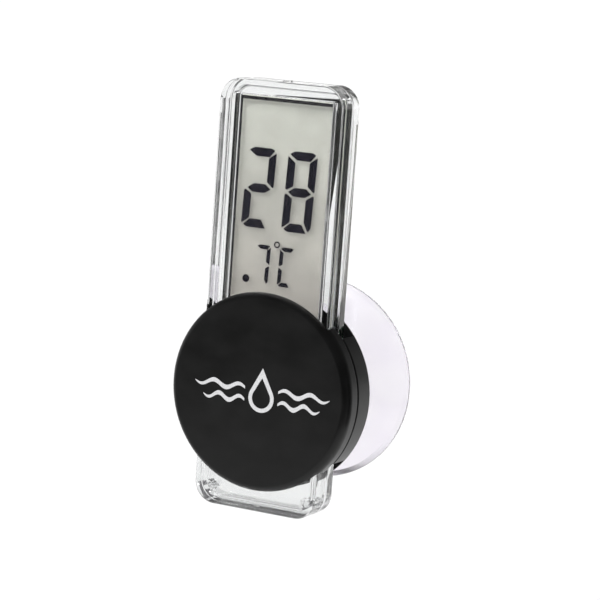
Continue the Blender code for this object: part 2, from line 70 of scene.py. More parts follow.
# The clear case, from its CAD boxes
case_front_low, case_front_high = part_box("case_front_shell")
case_rear_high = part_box("case_rear_shell")[1]
CASE_HALF = case_front_high.x
CASE_FRONT = case_front_low.y
CASE_BACK = case_rear_high.y
CASE_MID_Y = (CASE_FRONT + CASE_BACK) / 2
CASE_LOW, CASE_TOP = case_front_low.z, case_front_high.z
CASE_RIM = case_front_high.y
RIM_GAP = 0.3 * MM
CASE_CORNER = 5.5 * MM
CASE_EDGE = 0.35 * MM
RIM_EDGE = 0.12 * MM
SIDE_WALL = 1.7 * MM
FACE_WALL = 1.5 * MM
HOLLOW_FRONT = CASE_FRONT + FACE_WALL
HOLLOW_BACK = CASE_BACK - FACE_WALL
POCKET_LOW = 12.0 * MM
POCKET_GAP = 0.3 * MM
SOCKET_RADIUS = 1.5 * MM
PIN_RADIUS = 0.55 * MM
BOSS_RADIUS = 1.6 * MM
BORE_RADIUS = 0.85 * MM
RIB_X, RIB_HALF = 9.5 * MM, 0.5 * MM
RIB_LOW, RIB_HIGH = 24 * MM, 66 * MM
BATTERY_OPENING = 8.6 * MM
POST_PLACES = [(side * 14.0 * MM, CASE_LOW + 3.75 * MM) for side in (-1, 1)]
BOARD_SCREW_PLACES = [(side * 11.5 * MM, -2.0 * MM) for side in (-1, 1)]

# The display's layers, from their CAD boxes
glass_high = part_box("lcd_front_glass")[1]
seal_low, seal_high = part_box("lcd_edge_seal")
REFLECTOR_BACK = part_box("lcd_rear_polariser")[1].y
CRYSTAL_Y = (seal_low.y + seal_high.y) / 2

# The round housing, its screws and the battery cover
HOUSING_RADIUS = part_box("front_cover")[1].x
HOUSING_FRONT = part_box("front_cover")[0].y
SEAM_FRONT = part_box("front_cover")[1].y
SEAM_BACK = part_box("rear_cover")[0].y
HOUSING_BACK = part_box("battery_cover")[1].y
BOSS_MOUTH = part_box("rear_cover")[1].y
HOUSING_WALL = 1.5 * MM
INNER_BACK = HOUSING_BACK - 1.3 * MM
EDGE_WIDE, EDGE_DEEP = 1.7 * MM, 2.9 * MM
NOTCH_GAP = 0.3 * MM
REAR_NOTCH_HALF = 19.2 * MM
SCREW_HEAD, SCREW_CREST, SCREW_CORE = 1.7 * MM, 0.8 * MM, 0.62 * MM
SCREW_PITCH = 0.7 * MM
SCREW_PLACES = [(x * 19.9 * MM, z * 8.0 * MM) for z in (1, -1) for x in (-1, 1)]
cover_low, cover_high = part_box("battery_cover")
COVER_RADIUS = cover_high.x
COVER_Z = (cover_low.z + cover_high.z) / 2
COVER_TURN = math.radians(40)
CAP_UNDER = HOUSING_BACK - 0.9 * MM
CAP_NECK = COVER_RADIUS - 1.0 * MM
WELL_RADIUS = 8.3 * MM

# The suction cup
cup_low, cup_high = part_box("suction_cup")
CUP_RADIUS = cup_high.x
CUP_LIP, CUP_RIM = 2.0 * MM, 1.0 * MM
HOLLOW_DEPTH, DOME_TOP = 8.0 * MM, 12.0 * MM
KNOB_FRONT = cup_low.y
NECK_RADIUS = 3.7 * MM
NECK_FILLET = 3.5 * MM
KNOB_RADIUS = 5.2 * MM
KNOB_THICK = 2.5 * MM
CUP_STEPS = 24


# ---------------------------------------------------------------- outlines and meshes


def round_corners(points, closed=False, steps=ARC_STEPS):
    """Turns each corner (a, b, radius) of an outline into an arc of that radius."""
    result = []
    count = len(points)
    for i, (a, b, radius) in enumerate(points):
        ends = i in (0, count - 1) and not closed
        if not radius or ends:
            result.append((a, b))
            continue
        corner = Vector((a, b))
        before = (Vector(points[i - 1][:2]) - corner).normalized()
        after = (Vector(points[(i + 1) % count][:2]) - corner).normalized()
        half = before.angle(after) / 2
        centre = corner + (before + after).normalized() * radius / math.sin(half)
        first = corner + before * radius / math.tan(half) - centre
        last = corner + after * radius / math.tan(half) - centre
        sweep = first.angle(last)
        for k in range(steps + 1):
            share = k / steps
            spoke = first * math.sin((1 - share) * sweep) + last * math.sin(share * sweep)
            result.append(tuple(centre + spoke / math.sin(sweep)))
    return result


def arc(centre, radius, start, end, steps):
    """Points on a circle, from one angle in degrees to another."""
    angles = [math.radians(start + (end - start) * i / steps) for i in range(steps + 1)]
    return [(centre[0] + radius * math.cos(a), centre[1] + radius * math.sin(a)) for a in angles]


def mesh_from(bm):
    """Turns a bmesh into a mesh whose faces look outwards, and frees it."""
    bmesh.ops.recalc_face_normals(bm, faces=bm.faces)
    mesh = bpy.data.meshes.new("mesh")
    bm.to_mesh(mesh)
    bm.free()
    return mesh


def ring_outline(low, high, inset, corner):
    """Points (x, z) round a rectangle with round corners, inset from its outline."""
    radius = max(corner - inset, 0.01 * MM)
    left, right = low.x + inset, high.x - inset
    bottom, top = low.z + inset, high.z - inset
    points = []
    for x, z, start in (
        (right - radius, top - radius, 0),
        (left + radius, top - radius, 90),
        (left + radius, bottom + radius, 180),
        (right - radius, bottom + radius, 270),
    ):
        points += arc((x, z), radius, start, start + 90, CORNER_STEPS)
    return points


def slab_mesh(low, high, corner, front_edge=0.0, back_edge=0.0):
    """A plate in the XZ plane with round corners, whose front and back outlines are rounded too."""
    rings = []
    for k in range(ARC_STEPS + 1):
        angle = math.pi / 2 * k / ARC_STEPS
        rings.append((low.y + front_edge * (1 - math.cos(angle)), front_edge * (1 - math.sin(angle))))
        if not front_edge:
            break
    for k in range(ARC_STEPS, -1, -1):
        angle = math.pi / 2 * k / ARC_STEPS
        rings.append((high.y - back_edge * (1 - math.cos(angle)), back_edge * (1 - math.sin(angle))))
        if not back_edge:
            break
    bm = bmesh.new()
    loops = []
    for y, inset in rings:
        loops.append([bm.verts.new((x, y, z)) for x, z in ring_outline(low, high, inset, corner)])
    join_loops(bm, loops)
    bm.faces.new(loops[0])
    bm.faces.new(loops[-1])
    return mesh_from(bm)


def join_loops(bm, loops):
    """Skins neighbouring loops of the same number of vertices with quads."""
    for first, second in zip(loops, loops[1:]):
        for i in range(len(first)):
            j = (i + 1) % len(first)
            bm.faces.new((first[i], first[j], second[j], second[i]))


def turned_mesh(profile, sides=LARGE_SIDES, x=0.0, z=0.0, closed=False):
    """Turns the outline (radius, y) about the Y axis through (x, z)."""
    bm = bmesh.new()
    rings = []
    for radius, y in profile:
        if radius < 1e-7:
            rings.append([bm.verts.new((x, y, z))])
            continue
        spokes = [2 * math.pi * i / sides for i in range(sides)]
        rings.append(
            [bm.verts.new((x + radius * math.cos(a), y, z + radius * math.sin(a))) for a in spokes]
        )
    pairs = list(zip(rings, rings[1:]))
    if closed:
        pairs.append((rings[-1], rings[0]))
    for first, second in pairs:
        for i in range(sides):
            j = (i + 1) % sides
            corners = [first[i % len(first)], first[j % len(first)]]
            corners += [second[j % len(second)], second[i % len(second)]]
            unique = list(dict.fromkeys(corners))
            if len(unique) > 2:
                bm.faces.new(unique)
    return mesh_from(bm)


def plate_mesh(outlines, front, back):
    """Flat plates with the given closed outlines of (x, z) points, from y front to y back."""
    bm = bmesh.new()
    for outline in outlines:
        face = bm.faces.new([bm.verts.new((x, front, z)) for x, z in outline])
        swept = bmesh.ops.extrude_face_region(bm, geom=[face])["geom"]
        for vert in (v for v in swept if isinstance(v, bmesh.types.BMVert)):
            vert.co.y = back
    return mesh_from(bm)


# ---------------------------------------------------------------- pieces


def new_object(name, mesh):
    """A new object in the scene."""
    obj = bpy.data.objects.new(name, mesh)
    bpy.context.scene.collection.objects.link(obj)
    return obj


def bake_modifiers(obj):
    """Makes what an object's modifiers do part of its mesh."""
    graph = bpy.context.evaluated_depsgraph_get()
    mesh = bpy.data.meshes.new_from_object(obj.evaluated_get(graph))
    obj.modifiers.clear()
    obj.data = mesh


def combine(obj, mesh, operation):
    """Joins a mesh to an object, or cuts it out."""
    tool = new_object(obj.name + "_tool", mesh)
    boolean = obj.modifiers.new("boolean", "BOOLEAN")
    boolean.operation = operation
    boolean.object = tool
    bake_modifiers(obj)
    bpy.data.objects.remove(tool)


def add(obj, mesh):
    combine(obj, mesh, "UNION")


def cut(obj, mesh):
    combine(obj, mesh, "DIFFERENCE")


def finish_piece(obj, material, body, slot, *nodes):
    """Shades a piece, gives it its material, ties it to its body and hides the CAD nodes that it
    replaces. Its slot is not used.
    """
    obj.data.shade_smooth()
    obj.data.set_sharp_from_angle(angle=SHARP_ANGLE)
    normals = obj.modifiers.new("weighted_normals", "WEIGHTED_NORMAL")
    normals.keep_sharp = True
    obj.data.materials.clear()
    obj.data.materials.append(material)
    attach(obj, body)
    if nodes:
        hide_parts(*nodes)


def dress(node, material):
    """Gives a CAD node that stays a better material."""
    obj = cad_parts[node]
    obj.data.materials.clear()
    obj.data.materials.append(material)


# ---------------------------------------------------------------- material helpers


def new_material(name, roughness=0.4, metallic=0.0, specular=0.5):
    """A new material, its node tree and its shader."""
    material = bpy.data.materials.new(name)
    material.use_nodes = True
    shader = material.node_tree.nodes["Principled BSDF"]
    shader.inputs["Roughness"].default_value = roughness
    shader.inputs["Metallic"].default_value = metallic
    shader.inputs["Specular IOR Level"].default_value = specular
    return material, material.node_tree, shader


def link(tree, output, node, socket):
    tree.links.new(output, node.inputs[socket])


def object_coords(tree, stretch=(1, 1, 1)):
    """The object's own coordinates, which move with it."""
    coords = tree.nodes.new("ShaderNodeTexCoord")
    mapping = tree.nodes.new("ShaderNodeMapping")
    mapping.inputs["Scale"].default_value = stretch
    link(tree, coords.outputs["Object"], mapping, "Vector")
    return mapping.outputs["Vector"]


def noise(tree, size, detail=3.0, stretch=(1, 1, 1)):
    """Soft noise whose features are about size metres across."""
    node = tree.nodes.new("ShaderNodeTexNoise")
    node.inputs["Scale"].default_value = 1 / size
    node.inputs["Detail"].default_value = detail
    link(tree, object_coords(tree, stretch), node, "Vector")
    return node.outputs["Fac"]


def colours(tree, factor, shader, dark, light, low=0.35, high=0.65):
    """Colours a shader's base between two tones by a factor, and returns the ramp."""
    ramp = tree.nodes.new("ShaderNodeValToRGB")
    ramp.color_ramp.elements[0].position = low
    ramp.color_ramp.elements[0].color = (*dark, 1)
    ramp.color_ramp.elements[1].position = high
    ramp.color_ramp.elements[1].color = (*light, 1)
    link(tree, factor, ramp, "Fac")
    link(tree, ramp.outputs["Color"], shader, "Base Color")
    return ramp


def spread(tree, factor, least, most, low=0.35, high=0.65):
    """Maps a factor to a range of values."""
    node = tree.nodes.new("ShaderNodeMapRange")
    node.inputs["From Min"].default_value = low
    node.inputs["From Max"].default_value = high
    node.inputs["To Min"].default_value = least
    node.inputs["To Max"].default_value = most
    link(tree, factor, node, "Value")
    return node.outputs["Result"]


def spread_along(tree, axis, low, high, least=0.0, most=1.0):
    """The value least below low on one of the object's axes, most above high, and in proportion
    between them."""
    parts = tree.nodes.new("ShaderNodeSeparateXYZ")
    link(tree, object_coords(tree), parts, "Vector")
    return spread(tree, parts.outputs[axis], least, most, low, high)


def arithmetic(tree, operation, first, second):
    """Two values added, multiplied and so on."""
    node = tree.nodes.new("ShaderNodeMath")
    node.operation = operation
    tree.links.new(first, node.inputs[0])
    tree.links.new(second, node.inputs[1])
    return node.outputs["Value"]


def bump(tree, height, shader, distance, strength):
    """Fine relief, distance metres deep at full strength."""
    node = tree.nodes.new("ShaderNodeBump")
    node.inputs["Distance"].default_value = distance
    node.inputs["Strength"].default_value = strength
    link(tree, height, node, "Height")
    link(tree, node.outputs["Normal"], shader, "Normal")


def let_lamps_through(tree, shader, tint):
    """Clear material casts no dark shadow: a shadow ray passes it, tinted."""
    path = tree.nodes.new("ShaderNodeLightPath")
    clear = tree.nodes.new("ShaderNodeBsdfTransparent")
    clear.inputs["Color"].default_value = (*tint, 1)
    mix = tree.nodes.new("ShaderNodeMixShader")
    link(tree, path.outputs["Is Shadow Ray"], mix, "Fac")
    tree.links.new(shader.outputs["BSDF"], mix.inputs[1])
    tree.links.new(clear.outputs["BSDF"], mix.inputs[2])
    output = tree.nodes["Material Output"]
    link(tree, mix.outputs["Shader"], output, "Surface")


# ---------------------------------------------------------------- materials


def clear_plastic():
    """Polished clear styrene, with faint haze from handling. Its foot carries painted shade, a little
    greyer, and its bottom wall carries darker painted shade."""
    material, tree, shader = new_material("clear_styrene")
    haze = noise(tree, 6 * MM, 4)
    # Painted shade: greyer towards the foot, and darkest on the bottom wall
    foot = spread_along(tree, "Z", 4 * MM, 14 * MM, 0.0, 0.6)
    wall = spread_along(tree, "Z", CASE_LOW + 1.0 * MM, CASE_LOW + SIDE_WALL, 0.0, 0.3)
    level = arithmetic(tree, "ADD", foot, wall)
    level = arithmetic(tree, "ADD", level, spread(tree, haze, 0.0, 0.1))
    ramp = colours(tree, level, shader, (0.885, 0.892, 0.892), (0.99, 0.995, 0.995), 0.3, 1.0)
    ramp.color_ramp.elements.new(0.0).color = (0.6, 0.605, 0.605, 1)
    shader.inputs["Transmission Weight"].default_value = 1.0
    shader.inputs["IOR"].default_value = 1.49
    link(tree, spread(tree, haze, 0.01, 0.035), shader, "Roughness")
    let_lamps_through(tree, shader, (0.94, 0.95, 0.95))
    return material


def satin_black():
    """Moulded black ABS with a fine satin texture and faint flow marks."""
    material, tree, shader = new_material("satin_black_abs", specular=0.27)
    flow = noise(tree, 9 * MM, 3, (1, 1, 1.6))
    colours(tree, flow, shader, (0.0035, 0.0035, 0.0035), (0.006, 0.006, 0.006))
    grain = noise(tree, 0.16 * MM, 2)
    link(tree, spread(tree, flow, 0.28, 0.33), shader, "Roughness")
    bump(tree, grain, shader, 0.012 * MM, 0.6)
    return material


def clear_vinyl():
    """Soft milky vinyl with a faint lavender cast."""
    material, tree, shader = new_material("clear_vinyl")
    cloud = noise(tree, 7 * MM, 3)
    colours(tree, cloud, shader, (0.9, 0.865, 0.935), (0.94, 0.915, 0.96))
    shader.inputs["Transmission Weight"].default_value = 0.92
    shader.inputs["IOR"].default_value = 1.4
    link(tree, spread(tree, cloud, 0.12, 0.2), shader, "Roughness")
    bump(tree, noise(tree, 2.5 * MM, 2), shader, 0.03 * MM, 0.5)
    let_lamps_through(tree, shader, (0.9, 0.88, 0.91))
    return material


def emblem_print():
    """Silver-grey pad print, slightly uneven in cover."""
    material, tree, shader = new_material("grey_print", roughness=0.5, specular=0.3)
    cover = noise(tree, 0.35 * MM, 4)
    colours(tree, cover, shader, (0.48, 0.48, 0.49), (0.56, 0.56, 0.57))
    bump(tree, cover, shader, 0.008 * MM, 0.4)
    return material


def see_through_film(name, dark, light, least, most, roughness):
    """A thin layer that tints what is behind it."""
    material, tree, shader = new_material(name, roughness=roughness)
    cloud = noise(tree, 11 * MM, 2)
    colours(tree, cloud, shader, dark, light)
    link(tree, spread(tree, cloud, least, most), shader, "Alpha")
    return material


def reflector_film():
    """The grainy grey foil behind the liquid crystal, with painted shade: darker and yellower towards
    its foot.
    """
    material, tree, shader = new_material("grey_reflector", specular=0.4)
    grain = noise(tree, 0.12 * MM, 3)
    # Painted shade: the foil darkens and warms from its top down to its foot
    height = spread_along(tree, "Z", 20 * MM, 70 * MM, 0.0, 0.86)
    level = arithmetic(tree, "ADD", height, spread(tree, grain, 0.0, 0.14))
    foot, top = (0.435, 0.402, 0.365), (0.64, 0.645, 0.578)
    colours(tree, level, shader, foot, top, 0.0, 1.0)
    link(tree, spread(tree, noise(tree, 8 * MM, 2), 0.4, 0.5), shader, "Roughness")
    bump(tree, grain, shader, 0.01 * MM, 0.5)
    return material


def edge_with_painted_shade():
    """The sides of the glass, with painted shade: painted dark higher up for the display's dark inside
    seen through them, and pale like ground glass at the foot.
    """
    material, tree, shader = new_material("glass_edge_painted_shade", roughness=0.5)
    grain = noise(tree, 1.5 * MM, 4)
    # Painted shade: dark above, fading to pale ground glass at the foot
    height = spread_along(tree, "Z", 30 * MM, 44 * MM, 0.9, 0.0)
    level = arithmetic(tree, "ADD", height, spread(tree, grain, 0.0, 0.02))
    colours(tree, level, shader, (0.012, 0.015, 0.014), (0.85, 0.86, 0.86), 0.0, 1.0)
    bump(tree, noise(tree, 0.12 * MM, 2), shader, 0.01 * MM, 0.5)
    return material


def crystal_black():
    """The dark state of the liquid crystal, with a blue cast."""
    material, tree, shader = new_material("crystal_black", roughness=0.35, specular=0.3)
    colours(tree, noise(tree, 3 * MM, 2), shader, (0.003, 0.002, 0.006), (0.005, 0.004, 0.01))
    return material


def mottled(name, dark, light, size, roughness, grain=0.01):
    """A solid-coloured material with soft variation and a fine surface grain."""
    material, tree, shader = new_material(name, roughness)
    cloud = noise(tree, size, 4)
    colours(tree, cloud, shader, dark, light)
    link(tree, spread(tree, cloud, roughness * 0.85, roughness * 1.15), shader, "Roughness")
    bump(tree, noise(tree, size / 12, 2), shader, grain * MM, 0.5)
    return material


def brushed_metal(name, dark, light, roughness, stretch):
    """Metal with fine streaks along one direction."""
    material, tree, shader = new_material(name, roughness, 1.0)
    streaks = noise(tree, 0.6 * MM, 4, stretch)
    colours(tree, streaks, shader, dark, light)
    link(tree, spread(tree, streaks, roughness * 0.8, roughness * 1.3), shader, "Roughness")
    bump(tree, streaks, shader, 0.006 * MM, 0.5)
    return material


def solder_mask():
    """Green board lacquer over square-cornered copper runs."""
    material, tree, shader = new_material("green_board", specular=0.5)
    runs = tree.nodes.new("ShaderNodeTexBrick")
    runs.inputs["Scale"].default_value = 1.0
    runs.inputs["Brick Width"].default_value = 4.6 * MM
    runs.inputs["Row Height"].default_value = 1.3 * MM
    runs.inputs["Mortar Size"].default_value = 0.22 * MM
    runs.inputs["Color1"].default_value = (0.004, 0.022, 0.010, 1)
    runs.inputs["Color2"].default_value = (0.005, 0.026, 0.012, 1)
    runs.inputs["Mortar"].default_value = (0.009, 0.045, 0.02, 1)
    turn = tree.nodes.new("ShaderNodeMapping")
    turn.inputs["Rotation"].default_value = (math.radians(90), 0, 0)
    link(tree, object_coords(tree), turn, "Vector")
    link(tree, turn.outputs["Vector"], runs, "Vector")
    link(tree, runs.outputs["Color"], shader, "Base Color")
    link(tree, spread(tree, noise(tree, 3 * MM), 0.25, 0.4), shader, "Roughness")
    bump(tree, runs.outputs["Fac"], shader, 0.03 * MM, 0.6)
    return material


CLEAR = clear_plastic()
BLACK = satin_black()
VINYL = clear_vinyl()
PRINT = emblem_print()
FILM = see_through_film("front_polariser", (0.02, 0.017, 0.024), (0.03, 0.026, 0.034), 0.09, 0.12, 0.2)
GLASS = see_through_film("display_glass", (0.015, 0.02, 0.02), (0.02, 0.026, 0.025), 0.03, 0.05, 0.08)
GLASS_EDGE_SHADE = edge_with_painted_shade()
REFLECTOR = reflector_film()
CRYSTAL = crystal_black()
EPOXY = mottled("black_epoxy", (0.008, 0.008, 0.008), (0.016, 0.015, 0.015), 2 * MM, 0.3)
ELASTOMER = mottled("zebra_rubber", (0.2, 0.2, 0.24), (0.38, 0.38, 0.42), 0.3 * MM, 0.65)
BOARD = solder_mask()
CHIP = mottled("chip_black", (0.02, 0.02, 0.02), (0.04, 0.04, 0.042), 1 * MM, 0.4)
CERAMIC = mottled("tan_ceramic", (0.42, 0.3, 0.18), (0.55, 0.42, 0.28), 0.8 * MM, 0.5)
STEEL = brushed_metal("zinc_steel", (0.48, 0.48, 0.47), (0.66, 0.66, 0.66), 0.3, (1, 1, 1))
CELL = brushed_metal("cell_steel", (0.6, 0.6, 0.61), (0.76, 0.76, 0.77), 0.22, (6, 1, 1))
SPRING = brushed_metal("contact_metal", (0.6, 0.52, 0.34), (0.78, 0.7, 0.48), 0.25, (1, 1, 8))
RUBBER = mottled("black_rubber", (0.012, 0.012, 0.012), (0.024, 0.024, 0.024), 2 * MM, 0.75)
FOAM = mottled("grey_foam", (0.2, 0.2, 0.21), (0.36, 0.36, 0.37), 0.5 * MM, 0.95, 0.12)


# ---------------------------------------------------------------- clear case


def case_slab(low_y, high_y, front_edge, back_edge):
    """The case's outline as a plate, from one depth to another."""
    low = Vector((-CASE_HALF, low_y, CASE_LOW))
    high = Vector((CASE_HALF, high_y, CASE_TOP))
    return slab_mesh(low, high, CASE_CORNER, front_edge, back_edge)


def post_mesh(radius, foot, root, tip, x, z, tip_round=0.15 * MM):
    """A round post along Y that flares where it meets its wall, from y root to y tip."""
    outwards = 1 if tip > root else -1
    profile = [
        (0, root, 0),
        (radius + foot, root, 0),
        (radius + foot * 0.99, root + outwards * 0.55 * MM, 0),
        (radius, root + outwards * (0.55 * MM + foot), 0.25 * MM),
        (radius, tip, tip_round),
        (0, tip, 0),
    ]
    return turned_mesh(round_corners(profile), SMALL_SIDES, x, z)


def bore_mesh(radius, low, high, x, z):
    """A plain round rod along Y, to cut with or to add."""
    outline = [(0, low), (radius, low), (radius, high), (0, high)]
    return turned_mesh(outline, SMALL_SIDES, x, z)


def make_case_front():
    """The thick front shell: a close pocket for the display, and a thin tray below it."""
    shell = new_object("clear_case_front", case_slab(CASE_FRONT, CASE_RIM, CASE_EDGE, RIM_EDGE))
    half = glass_high.x + POCKET_GAP
    pocket_low = Vector((-half, HOLLOW_FRONT, POCKET_LOW))
    pocket_high = Vector((half, CASE_RIM + THROUGH, glass_high.z + POCKET_GAP))
    cut(shell, slab_mesh(pocket_low, pocket_high, 0.5 * MM, 0.25 * MM))
    half = CASE_HALF - SIDE_WALL
    tray_low = Vector((-half, HOLLOW_FRONT + 0.05 * MM, CASE_LOW + SIDE_WALL))
    tray_high = Vector((half, CASE_RIM + THROUGH, POCKET_LOW + 0.5 * MM))
    cut(shell, slab_mesh(tray_low, tray_high, CASE_CORNER - SIDE_WALL, 0.5 * MM))
    root, tip = HOLLOW_FRONT - 0.5 * MM, CASE_RIM - 0.1 * MM
    for x, z in POST_PLACES:
        add(shell, post_mesh(SOCKET_RADIUS, 0.35 * MM, root, tip, x, z))
    for x, z in POST_PLACES:
        cut(shell, bore_mesh(BORE_RADIUS, HOLLOW_FRONT + 0.5 * MM, CASE_RIM + THROUGH, x, z))
    add(shell, gate_mark())
    finish_piece(shell, CLEAR, THERMOMETER, "clear_case", "case_front_shell")


def gate_mark():
    """The small stub that the moulding gate leaves on the top wall."""
    low = Vector((-1.1 * MM, CASE_MID_Y - 2.2 * MM, CASE_TOP - 0.5 * MM))
    high = Vector((1.1 * MM, CASE_MID_Y - 0.9 * MM, CASE_TOP + 0.3 * MM))
    return slab_mesh(low, high, 0.25 * MM, 0.2 * MM, 0.2 * MM)


def make_case_rear():
    """The tray behind the display, with its pins, board bosses, ribs and battery opening."""
    rim = CASE_RIM + RIM_GAP
    root = HOLLOW_BACK + 0.5 * MM
    shell = new_object("clear_case_rear", case_slab(rim, CASE_BACK, RIM_EDGE, CASE_EDGE))
    low = Vector((-CASE_HALF + SIDE_WALL, rim - THROUGH, CASE_LOW + SIDE_WALL))
    high = Vector((CASE_HALF - SIDE_WALL, HOLLOW_BACK, CASE_TOP - SIDE_WALL))
    cut(shell, slab_mesh(low, high, CASE_CORNER - SIDE_WALL, 0, 0.5 * MM))
    opening = [(0, root - THROUGH), (BATTERY_OPENING, root - THROUGH)]
    opening += [(BATTERY_OPENING, CASE_BACK + THROUGH), (0, CASE_BACK + THROUGH)]
    cut(shell, turned_mesh(opening, MIDDLE_SIDES, 0, COVER_Z))
    pin_tip = CASE_RIM - 1.35 * MM
    for x, z in POST_PLACES:
        add(shell, post_mesh(PIN_RADIUS, 0.4 * MM, root, pin_tip, x, z, 0.2 * MM))
    boss_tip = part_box("circuit_board")[1].y + 0.3 * MM
    for x, z in BOARD_SCREW_PLACES:
        add(shell, post_mesh(BOSS_RADIUS, 0.3 * MM, root, boss_tip, x, z))
        cut(shell, bore_mesh(BORE_RADIUS, boss_tip - THROUGH, CASE_BACK - 0.4 * MM, x, z))
    for side in (-1, 1):
        rib_low = Vector((side * RIB_X - RIB_HALF, REFLECTOR_BACK + 0.3 * MM, RIB_LOW))
        rib_high = Vector((side * RIB_X + RIB_HALF, root, RIB_HIGH))
        add(shell, slab_mesh(rib_low, rib_high, 0.3 * MM, 0.15 * MM, 0))
    finish_piece(shell, CLEAR, THERMOMETER, "clear_case", "case_rear_shell")


# ---------------------------------------------------------------- display


def make_display_sheets():
    """Film and ground glass. The front glass reaches lower than the rear one."""
    for name, node, material, slot in (
        ("display_front_film", "lcd_front_polariser", FILM, "polariser"),
        ("display_front_glass", "lcd_front_glass", GLASS, "display_glass"),
        ("display_rear_glass", "lcd_rear_glass", GLASS, "display_glass"),
        ("display_reflector", "lcd_rear_polariser", REFLECTOR, "reflector"),
    ):
        low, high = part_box(node)
        edge = 0.2 * (high.y - low.y)
        sheet = new_object(name, slab_mesh(low, high, 0.35 * MM, edge, edge))
        finish_piece(sheet, material, THERMOMETER, slot, node)
        if material is GLASS:
            grind_sides(sheet)
        if material is not REFLECTOR:
            sheet.visible_shadow = False
            sheet.visible_diffuse = False


def grind_sides(sheet):
    """Gives the sides of a glass sheet the edge material, with its painted shade."""
    sheet.data.materials.append(GLASS_EDGE_SHADE)
    for face in sheet.data.polygons:
        if abs(face.normal.y) < 0.5:
            face.material_index = 1


# A seven-segment digit, drawn upright from its lower left corner, in mm. Its ends are mitred
# so that neighbouring segments leave a thin slanting gap.
DIGIT_LEAN = 0.037
SEGMENTS = {
    "top": ((0.4, 18.8), (1.85, 19.6), (6.5, 19.6), (7.5, 19.15), (6.2, 17.45), (2.5, 17.45)),
    "upper_left": ((0.0, 18.35), (2.1, 16.8), (2.1, 11.1), (0.5, 10.1), (0.0, 10.4)),
    "upper_right": ((8.0, 18.6), (6.0, 17.1), (6.0, 11.4), (7.75, 10.0), (8.0, 10.3)),
    "middle": ((0.8, 9.65), (2.6, 10.8), (5.7, 10.8), (7.2, 9.65), (5.6, 8.65), (2.3, 8.65)),
    "lower_left": ((0.0, 8.95), (0.45, 9.2), (2.1, 8.15), (2.1, 2.35), (0.2, 0.9), (0.0, 1.1)),
    "lower_right": ((8.0, 8.95), (7.75, 9.3), (5.9, 8.1), (5.9, 2.65), (7.25, 0.4), (8.0, 1.5)),
    "bottom": ((0.6, 0.6), (1.6, 0.0), (6.8, 0.0), (5.4, 2.1), (2.25, 2.1)),
}
SMALL_SHARE = 0.493
LARGE_ROW, SMALL_ROW = 39.18, 25.6
POINT_PLACE, POINT_RADIUS = (-8.55 * MM, 26.55 * MM), 0.97 * MM
RING_PLACE, RING_OUTER, RING_INNER = (-0.55 * MM, 35.68 * MM), 0.82 * MM, 0.48 * MM
SEGMENT_THICK = 0.03 * MM


def segment_outlines(names, left, bottom, share=1.0):
    """The outlines of a character's lit segments, from its lower left corner in mm."""
    outlines = []
    for name in names:
        corners = []
        for u, v in SEGMENTS[name]:
            x = left + (u + DIGIT_LEAN * v) * share
            corners.append((x * MM, (bottom + v * share) * MM, 0.1 * share * MM))
        outlines.append(round_corners(corners, closed=True, steps=2))
    return outlines


def make_characters():
    """The lit segments of 28.7 degrees C, in the liquid crystal's plane."""
    two = ("top", "upper_right", "middle", "lower_left", "bottom")
    seven = ("top", "upper_right", "lower_right")
    letter = ("top", "upper_left", "lower_left", "bottom")
    front = CRYSTAL_Y - SEGMENT_THICK / 2
    back = CRYSTAL_Y + SEGMENT_THICK / 2
    for name, outlines in (
        ("digit_tens", segment_outlines(two, -10.97, LARGE_ROW)),
        ("digit_ones", segment_outlines(SEGMENTS, 0.23, LARGE_ROW)),
        ("digit_tenths", segment_outlines(seven, -6.43, SMALL_ROW, SMALL_SHARE)),
        ("unit_letter", segment_outlines(letter, 0.08, SMALL_ROW, SMALL_SHARE)),
        ("decimal_point", [arc(POINT_PLACE, POINT_RADIUS, 0, 352.5, 47)]),
    ):
        piece = new_object(name, plate_mesh(outlines, front, back))
        finish_piece(piece, CRYSTAL, THERMOMETER, "polariser")
        piece.visible_shadow = False
    ring = [(RING_OUTER, front), (RING_OUTER, back), (RING_INNER, back), (RING_INNER, front)]
    degree = new_object("degree_ring", turned_mesh(ring, RING_SIDES, *RING_PLACE, closed=True))
    finish_piece(degree, CRYSTAL, THERMOMETER, "polariser")


# ---------------------------------------------------------------- round housing


def case_notch(half_width):
    """The room that the case needs where it passes through the housing's rim."""
    low = Vector((-half_width, CASE_FRONT - NOTCH_GAP, -HOUSING_RADIUS - THROUGH))
    high = Vector((half_width, CASE_BACK + NOTCH_GAP, HOUSING_RADIUS + THROUGH))
    return slab_mesh(low, high, 0.3 * MM, 0.3 * MM, 0.3 * MM)


def front_edge_outline():
    """The front cover's edge, a quarter of an ellipse from the cover's side to its face."""
    outline = []
    for i in range(1, CORNER_STEPS + 1):
        angle = math.pi / 2 * (1 - i / CORNER_STEPS)
        radius = HOUSING_RADIUS - EDGE_WIDE * (1 - math.sin(angle))
        outline.append((radius, HOUSING_FRONT + EDGE_DEEP * (1 - math.cos(angle))))
    return outline


